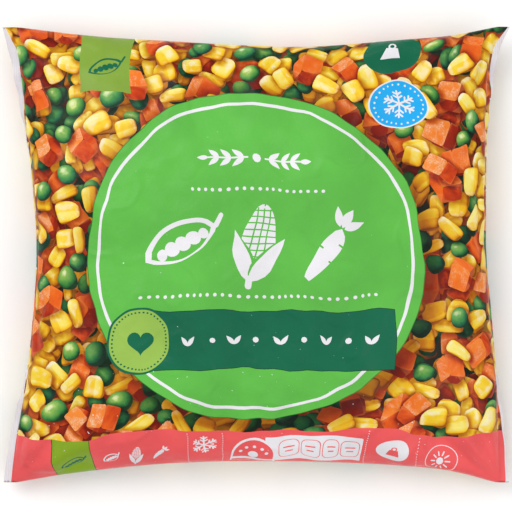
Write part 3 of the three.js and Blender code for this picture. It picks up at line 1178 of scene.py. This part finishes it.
def distance_to(points, outline):
    """How far points lie outside a convex outline."""
    way = np.roll(outline, -1, axis=0) - outline
    apart = points[:, None] - outline
    share = np.clip((apart * way).sum(-1) / np.maximum((way * way).sum(-1), 1e-12), 0, 1)
    gap = np.linalg.norm(apart - share[..., None] * way, axis=-1).min(axis=1)
    inside = (way[:, 0] * apart[..., 1] - way[:, 1] * apart[..., 0] >= 0).all(axis=1)
    return np.where(inside, 0, gap)


def printed_shadows(corners, ranks, casters):
    """The share of the printed light that the shapes lying higher leave at each corner."""
    order = np.argsort(corners[:, 0])
    sorted_x = corners[order, 0]
    left = np.ones(len(corners))
    for outline, rank, reach, strength in casters:
        low, high = outline.min(axis=0) - 2 * reach, outline.max(axis=0) + 2 * reach
        near = order[np.searchsorted(sorted_x, low[0]):np.searchsorted(sorted_x, high[0])]
        beside = corners[near, 1]
        near = near[(beside > low[1]) & (beside < high[1]) & (ranks[near] < rank)]
        if len(near):
            gap = distance_to(corners[near], outline)
            left[near] = np.minimum(left[near], 1 - strength * hump(gap, reach))
    return left


def map_height(t):
    """Height on the bake map, from 0 to 1, for places round the film."""
    ends = (-FILM_HEIGHT, -FILM_HEIGHT / 2, FILM_HEIGHT / 2, FILM_HEIGHT)
    back = (1 - FRONT_SHARE) / 2
    return np.interp(t, ends, (MAP_MARGIN, back, 1 - back, 1 - MAP_MARGIN))


def bake_map(mesh, corners):
    across = MAP_MARGIN + (corners[:, 0] / OUTER + 1) / 2 * (1 - 2 * MAP_MARGIN)
    on_map = np.stack([across, map_height(corners[:, 1])], axis=1)
    mesh.uv_layers.new(name="OFBake").data.foreach_set("uv", on_map.astype(np.float32).ravel())


def joined(places):
    """For each place on the film, the first place that it meets at the fins' edges and along the lap."""
    met = {}
    first = np.arange(len(places))
    for i, (x, t) in enumerate(places):
        if abs(x) > OUTER - CUT_TOLERANCE:
            height = t if abs(t) <= FILM_HEIGHT / 2 else math.copysign(FILM_HEIGHT, t) - t
            key = ("edge", x > 0, round(height, 3) + 0.0)
        elif abs(t) > FILM_HEIGHT - CUT_TOLERANCE:
            key = ("lap", round(x, 3) + 0.0)
        else:
            continue
        first[i] = met.setdefault(key, i)
    return first


def ink_frames(mesh, film, shapes, ranks, corners):
    """Stores where each corner lies in its shape, how the print faces there, and how it is lit."""
    def of_corners(part):
        return np.repeat([getattr(shape, part) for shape in shapes], 3, axis=0)

    across, up, away = of_corners("across"), of_corners("up"), corners - of_corners("centre")
    wide, long = (np.linalg.norm(arm, axis=1, keepdims=True) for arm in (across, up))
    u = (away * across).sum(axis=1, keepdims=True) / wide ** 2
    v = (away * up).sum(axis=1, keepdims=True) / long ** 2
    facing = u * across / wide + v * up / long
    seed, light, tone, turn = (of_corners(part)[:, None] for part in ("seed", "light", "tone", "turn"))
    tone = tone * printed_shadows(corners, ranks, film.casters)[:, None]
    for name, parts in (("place", (u, v, seed)), ("facing", (facing, tone)),
                        ("lit", (light, np.cos(turn), np.sin(turn)))):
        attribute = mesh.attributes.new(name, "FLOAT_VECTOR", "CORNER")
        attribute.data.foreach_set("vector", np.hstack(parts).astype(np.float32).ravel())


def build_bag(film, materials):
    """The bag's one closed skin, with every ink in its place."""
    places, triangles, topmost = cut_film(film)
    points, normals = Sheet().read(places[:, 0], places[:, 1])
    used, triangles_used = np.unique(joined(places)[triangles], return_inverse=True)
    mesh = bpy.data.meshes.new("bag_film")
    mesh.from_pydata((points[used] * MM).tolist(), [], triangles_used.reshape(-1, 3).tolist())
    shapes = [film.shapes[rank] for rank in topmost]
    names = list(materials)
    for material in materials.values():
        mesh.materials.append(material)
    mesh.polygons.foreach_set("material_index", [names.index(shape.ink) for shape in shapes])
    corners = places[triangles].reshape(-1, 2)
    ink_frames(mesh, film, shapes, np.repeat(topmost, 3), corners)
    bake_map(mesh, corners)
    mesh.shade_smooth()
    mesh.normals_split_custom_set(normals[triangles].reshape(-1, 3).tolist())
    bag = bpy.data.objects.new("bag", mesh)
    bpy.context.scene.collection.objects.link(bag)
    return bag


# Materials
class Paint:
    """One material's nodes."""

    def __init__(self, name):
        self.material = bpy.data.materials.new(name)
        self.material.use_nodes = True
        self.tree = self.material.node_tree
        self.tree.nodes.clear()

    def node(self, kind, inputs, **settings):
        node = self.tree.nodes.new("ShaderNode" + kind)
        for name, value in settings.items():
            setattr(node, name, value)
        for socket, value in inputs.items():
            if isinstance(value, bpy.types.NodeSocket):
                self.tree.links.new(value, node.inputs[socket])
            else:
                node.inputs[socket].default_value = value
        return node

    def math(self, operation, *values, clamp=False):
        return self.node("Math", dict(enumerate(values)), operation=operation, use_clamp=clamp).outputs[0]

    def chain(self, operation, value, *others):
        for other in others:
            value = self.math(operation, value, other)
        return value

    def plus(self, *values):
        return self.chain("ADD", *values)

    def times(self, *values):
        return self.chain("MULTIPLY", *values)

    def minus(self, value, other):
        return self.math("SUBTRACT", value, other)

    def mix(self, share, low, high, blend="MIX"):
        inputs = {0: share, 6: low, 7: high}
        return self.node("Mix", inputs, data_type="RGBA", blend_type=blend).outputs[2]

    def ramp(self, value, stops):
        node = self.node("ValToRGB", {0: value})
        elements = node.color_ramp.elements
        while len(elements) < len(stops):
            elements.new(0.5)
        for element, (position, code) in zip(elements, stops):
            element.position = position
            element.color = colour_of(code)
        return node.outputs[0]

    def between(self, value, low, high, to_low=0.0, to_high=1.0):
        inputs = {0: value, 1: low, 2: high, 3: to_low, 4: to_high}
        return self.node("MapRange", inputs, interpolation_type="SMOOTHSTEP").outputs[0]

    def noise(self, vector, scale, detail=2.0, roughness=0.5):
        inputs = {"Vector": vector, "Scale": scale, "Detail": detail, "Roughness": roughness}
        return self.node("TexNoise", inputs).outputs[0]

    def patches(self, vector, scale, detail, low=0.0, high=1.0, roughness=0.5):
        """Soft patches between two values."""
        return self.between(self.noise(vector, scale, detail, roughness), 0.3, 0.7, low, high)

    def uneven(self, vector, scale, depth, detail=2):
        """Noise about zero."""
        return self.times(self.minus(self.noise(vector, scale, detail), 0.5), depth)

    def parts(self, vector):
        return self.node("SeparateXYZ", {0: vector}).outputs

    def split(self, name):
        return self.parts(self.node("Attribute", {}, attribute_name=name).outputs["Vector"])

    def spread(self, u, v, seed):
        """Places for noise that differs from one printed thing to the next."""
        return self.node("CombineXYZ", {0: u, 1: v, 2: self.times(seed, 40)}).outputs[0]

    def objects_place(self):
        return self.node("TexCoord", {}).outputs["Object"]

    def relief(self, height, **inputs):
        return self.node("Bump", {"Height": height, **inputs}).outputs[0]

    def finished(self, colour, roughness, relief, shine):
        """The material with its surface and output."""
        inputs = {"Base Color": colour, "Roughness": roughness, "Normal": relief, "Specular IOR Level": shine}
        shader = self.node("BsdfPrincipled", inputs)
        self.node("OutputMaterial", {0: shader.outputs[0]})
        return self.material


def colour_of(code):
    """Linear colour for an ink that shows as a hexadecimal screen colour in the studio's light."""
    values = [int(code[i:i + 2], 16) / 255 for i in (1, 3, 5)]
    linear = [value / 12.92 if value < 0.04045 else ((value + 0.055) / 1.055) ** 2.4 for value in values]
    return [value / STUDIO_LIGHT for value in linear] + [1]


SPECK_INK = "#F1EEF0"
SPECK_EDGE = 0.79  # noise above this is a white speck
SPECK_SHARPNESS = 26
STUDIO_LIGHT = 1.12  # how brightly the studio lights a level surface
FILM_SHINE = 0.16  # specular level of the satin film
FILM_ROUGHNESS = (0.3, 0.44)
FILM_RELIEF = {"Strength": 0.26, "Distance": 0.0012}


def film_finish(paint, colour):
    """Satin polythene over the print: white specks, more of them towards the low end, patchy gloss and the fine
    unevenness of the film.
    """
    place = paint.objects_place()
    low_end = paint.between(paint.parts(place)[1], 0.02, -0.11, 0.0, 0.045)
    patch = paint.between(paint.noise(place, 34, 2), 0.5, 0.75, 0.0, 0.03)
    edge = paint.minus(SPECK_EDGE, paint.plus(low_end, patch))
    above = paint.minus(paint.noise(place, 640, 1.5, 0.6), edge)
    # white specks on the film, more of them towards its low end
    speck = paint.math("MULTIPLY", above, SPECK_SHARPNESS, clamp=True)
    colour = paint.mix(speck, colour, colour_of(SPECK_INK))
    roughness = paint.patches(place, 45, 3, *FILM_ROUGHNESS)
    from_fold = paint.math("ABSOLUTE", paint.minus(paint.noise(place, 22, 2, 0.55), 0.5))
    folds = paint.between(from_fold, 0.05, 0.0, 0.0, 1.3)
    height = paint.plus(paint.noise(place, 260, 3, 0.6), paint.times(paint.noise(place, 70, 2), 1.6), folds)
    return paint.finished(colour, roughness, paint.relief(height, **FILM_RELIEF), FILM_SHINE)


def dimmed(paint, value, tone):
    """Printed light with the share that a shadow takes off it."""
    return paint.minus(value, paint.times(paint.minus(1.0, tone), 0.45))


def glossy(paint, colour, light, tone):
    """Adds the small printed highlight where a wet thing faces the printed light."""
    share = paint.times(paint.between(light, 0.955, 0.995, 0.0, 0.6), paint.between(tone, 0.7, 1.0))
    return paint.mix(share, colour, colour_of("#F6F4CE"))


def shaded(paint, colour, tone, tint):
    """Darkens a printed colour towards its tint where the printed light doesn't reach."""
    deep = paint.mix(1.0, colour, colour_of(tint), blend="MULTIPLY")
    deepest = paint.mix(1.0, deep, colour_of("#6A5244"), blend="MULTIPLY")
    deep = paint.mix(paint.between(tone, 0.0, 0.26), deepest, deep)
    return paint.mix(tone, deep, colour)


def printed_light(paint, nx, ny, square):
    """Printed light on a rounded thing, from how it faces."""
    height = paint.math("SQRT", paint.math("MAXIMUM", paint.minus(1.0, square), 0.0))
    return paint.plus(paint.times(nx, SUN[0]), paint.times(ny, SUN[1]), paint.times(height, SUN[2]))


def squared(paint, a, b):
    return paint.plus(paint.times(a, a), paint.times(b, b))


# Colours of the printed vegetables from their darkest places to their lightest
PEA_COOL = ((0.05, "#0A3A27"), (0.36, "#206C46"), (0.64, "#42904C"), (0.9, "#76B05E"), (1, "#B8DA8C"))
PEA_WARM = ((0.05, "#113C1D"), (0.36, "#2F7838"), (0.64, "#5A9C45"), (0.9, "#92BC58"), (1, "#D2E48E"))
CORN_YELLOW = ((0.02, "#965206"), (0.26, "#DE920E"), (0.47, "#F4B81A"), (0.7, "#FAD430"), (0.97, "#FDEC7E"))
CORN_CREAM = ((0.02, "#B8701C"), (0.3, "#F0BE58"), (0.6, "#FBE09A"), (0.95, "#FEF3CE"))
CARROT_ORANGE = ((0, "#9A2208"), (0.25, "#D04210"), (0.48, "#EC6218"), (0.76, "#F67A22"), (1, "#F88E36"))
HEAP_GAPS = ((0.3, "#080C09"), (0.55, "#10190F"), (0.65, "#22180A"), (0.8, "#40220C"))


def pea_ink():
    paint = Paint("film_pea")
    u, v, seed = paint.split("place")
    nx, ny, tone = paint.split("facing")
    light = printed_light(paint, nx, ny, squared(paint, nx, ny))
    value = paint.plus(light, paint.uneven(paint.spread(u, v, seed), 1.5, 0.55, 3))
    value = dimmed(paint, value, tone)
    cool, warm = (paint.ramp(value, stops) for stops in (PEA_COOL, PEA_WARM))
    colour = glossy(paint, paint.mix(paint.between(seed, 0.2, 0.8), cool, warm), light, tone)
    return film_finish(paint, shaded(paint, colour, tone, "#38624A"))


def corn_ink():
    """Kernels are blocky, so their light falls on a flat crown and on bevels round it."""
    paint = Paint("film_corn")
    u, v, seed = paint.split("place")
    tone = paint.split("facing")[2]
    _, cosine, sine = paint.split("lit")
    cube_u, cube_v = (paint.times(side, paint.times(side, side)) for side in (u, v))
    nx = paint.minus(paint.times(cube_u, cosine), paint.times(cube_v, sine))
    ny = paint.plus(paint.times(cube_u, sine), paint.times(cube_v, cosine))
    square = squared(paint, nx, ny)
    spread = paint.spread(u, v, seed)
    light = printed_light(paint, nx, ny, square)
    lean = paint.minus(paint.times(seed, 1.1), 0.5)
    groove = paint.between(paint.minus(u, lean), -0.09, 0.09, 0.07, -0.15)
    value = dimmed(paint, paint.plus(light, groove, paint.uneven(spread, 1.4, 0.45)), tone)
    crown = paint.between(square, 0.2, 0.01)
    patchy = paint.between(paint.noise(spread, 1.1, 1), 0.48, 0.62)
    crown = paint.times(crown, patchy, paint.between(tone, 0.6, 0.95, 0.0, 0.7))
    tip = paint.between(paint.plus(v, paint.uneven(spread, 2, 0.6)), -0.62, -0.9)
    pale = paint.math("MAXIMUM", tip, crown)
    colour = paint.mix(pale, paint.ramp(value, CORN_YELLOW), paint.ramp(value, CORN_CREAM))
    colour = paint.mix(paint.between(square, 0.5, 1.0, 0.0, 0.4), colour, colour_of("#D0800E"))
    colour = glossy(paint, colour, light, tone)
    return film_finish(paint, shaded(paint, colour, tone, "#C08E30"))


def carrot_ink():
    """Faces of dice, each lit evenly, with a rough wet cut and paler edges."""
    paint = Paint("film_carrot")
    u, v, seed = paint.split("place")
    tone = paint.split("facing")[2]
    light = paint.split("lit")[0]
    spread = paint.spread(u, v, seed)
    slope = paint.times(paint.plus(u, v), 0.06)
    value = dimmed(paint, paint.plus(light, paint.uneven(spread, 1.2, 0.5), slope), tone)
    grain = paint.between(paint.noise(spread, 8, 3, 0.75), 0.47, 0.62, 0.15, 1.0)
    wet = paint.between(paint.noise(spread, 1.1, 2), 0.4, 0.6)
    open_light = paint.times(paint.between(light, 0.55, 0.95, 0.0, 0.8), paint.between(tone, 0.5, 0.95))
    glints = paint.times(grain, wet, open_light)
    colour = paint.mix(glints, paint.ramp(value, CARROT_ORANGE), colour_of("#FDDCB8"))
    edge = paint.math("MAXIMUM", paint.math("ABSOLUTE", u), paint.math("ABSOLUTE", v))
    colour = paint.mix(paint.between(edge, 0.84, 1.0, 0.0, 0.22), colour, colour_of("#F79A54"))
    return film_finish(paint, shaded(paint, colour, tone, "#8A4A30"))


def gap_ink():
    paint = Paint("film_gap")
    return film_finish(paint, paint.ramp(paint.noise(paint.objects_place(), 95, 2), HEAP_GAPS))


INK_SHARES = (0.9, 1.05)  # of the full colour, where the ink is thin and where it is thick


def flat_ink(name, code):
    """One printed colour, with the slight unevenness of the ink over the slack film."""
    paint = Paint("film_" + name)
    red_green_blue = colour_of(code)[:3]
    thin, thick = ([min(1, value * share) for value in red_green_blue] + [1] for share in INK_SHARES)
    patches = paint.patches(paint.objects_place(), 26, 3, roughness=0.55)
    return film_finish(paint, paint.mix(patches, thin, thick))


WELD_SHINE = 0.3
RIB_PITCH = 0.0011  # in metres, as are all places in materials


def weld_film():
    """The unprinted welds: milky film with fine ribs along them, each rib also painted a little darker as its
    shade.
    """
    paint = Paint("film_weld")
    place = paint.objects_place()
    ribs = paint.math("SINE", paint.times(paint.parts(place)[0], TAU / RIB_PITCH))
    colour = paint.mix(paint.patches(place, 60, 3), colour_of("#E4DDE2"), colour_of("#F4F0F2"))
    # painted shade: the ribs' crests are made darker in the colour, besides the bump below
    colour = paint.mix(paint.between(ribs, -1, 1, 0.0, 0.22), colour, colour_of("#CFC4CB"))
    roughness = paint.patches(place, 90, 2, 0.22, 0.36)
    relief = paint.relief(ribs, Strength=0.3, Distance=0.0003)
    return paint.finished(colour, roughness, relief, WELD_SHINE)


FLAT_INKS = {
    "green": "#62BE4B",
    "leaf_line": "#2F7A32",
    "light_green": "#9BC254",
    "patch_green": "#86A83E",
    "footer_green": "#88AA24",
    "dark_green": "#0C694A",
    "dark_line": "#123F2C",
    "coral": "#F65E60",
    "blue": "#22B0F4",
    "white": "#F0EEF2",
}


def all_materials():
    made = {name: flat_ink(name, code) for name, code in FLAT_INKS.items()}
    made.update(pea=pea_ink(), corn=corn_ink(), carrot=carrot_ink(), gap=gap_ink(), weld=weld_film())
    return made


# The studio
CAMERA_HEIGHT = 1.3
LIGHTS = (("key", (-0.8, 0.8, 1.3), 1.1, 12), ("fill", (1.1, -0.5, 1.1), 1.2, 5.5))  # place, size and watts
FLOOR_INKS = ((0.95, 0.95, 0.95, 1), (0.98, 0.98, 0.98, 1))
FLOOR_SIZE = 6
VIEW_WIDTH = 0.2671  # metres seen across the picture, at the height of the bag's edges
VIEW_CENTRE = (0.0, -0.0004)
SENSOR = 36
SKY_LOW, SKY_HIGH = 0.26, 1.0  # strength of the even light at the horizon and overhead


def floor():
    paint = Paint("floor")
    tint = paint.patches(paint.objects_place(), 3, 2)
    paint.finished(paint.mix(tint, *FLOOR_INKS), 0.9, paint.relief(tint, Strength=0.02), 0.2)
    bpy.ops.mesh.primitive_plane_add(size=FLOOR_SIZE)
    plane = bpy.context.object
    plane.name = "floor"
    plane.data.materials.append(paint.material)
    plane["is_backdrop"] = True


def area_light(name, place, size, power):
    """A square light that looks at the bag."""
    light = bpy.data.lights.new(name, "AREA")
    light.shape = "SQUARE"
    light.size = size
    light.energy = power
    lamp = bpy.data.objects.new(name, light)
    lamp.location = place
    lamp.rotation_euler = (-Vector(place)).to_track_quat("-Z", "Y").to_euler()
    bpy.context.scene.collection.objects.link(lamp)


def sky():
    """Even light, weaker towards the horizon."""
    world = bpy.data.worlds.new("studio")
    world.use_nodes = True
    tree = world.node_tree
    height = tree.nodes.new("ShaderNodeSeparateXYZ")
    strength = tree.nodes.new("ShaderNodeMapRange")
    strength.inputs["To Min"].default_value = SKY_LOW
    strength.inputs["To Max"].default_value = SKY_HIGH
    tree.links.new(tree.nodes.new("ShaderNodeTexCoord").outputs["Generated"], height.inputs[0])
    tree.links.new(height.outputs["Z"], strength.inputs["Value"])
    background = tree.nodes["Background"]
    background.inputs["Color"].default_value = (1, 1, 1, 1)
    tree.links.new(strength.outputs[0], background.inputs["Strength"])
    return world


def studio():
    """The light, and the camera straight above."""
    scene = bpy.context.scene
    scene.view_settings.view_transform = "Standard"
    scene.world = sky()
    for light in LIGHTS:
        area_light(*light)
    camera_data = bpy.data.cameras.new("camera")
    camera_data.sensor_width = SENSOR
    camera_data.lens = SENSOR * (CAMERA_HEIGHT - WAIST_HEIGHT * MM) / VIEW_WIDTH
    camera = bpy.data.objects.new("camera", camera_data)
    camera.location = (*VIEW_CENTRE, CAMERA_HEIGHT)
    scene.collection.objects.link(camera)
    scene.camera = camera


studio()
floor()
bag = build_bag(whole_print(), all_materials())
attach(bag, "root")
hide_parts(BAG_NODE)

boxes = {name: [list(corner) for corner in box] for name, box in (("cad", CAD_BOX), ("visual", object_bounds()))}
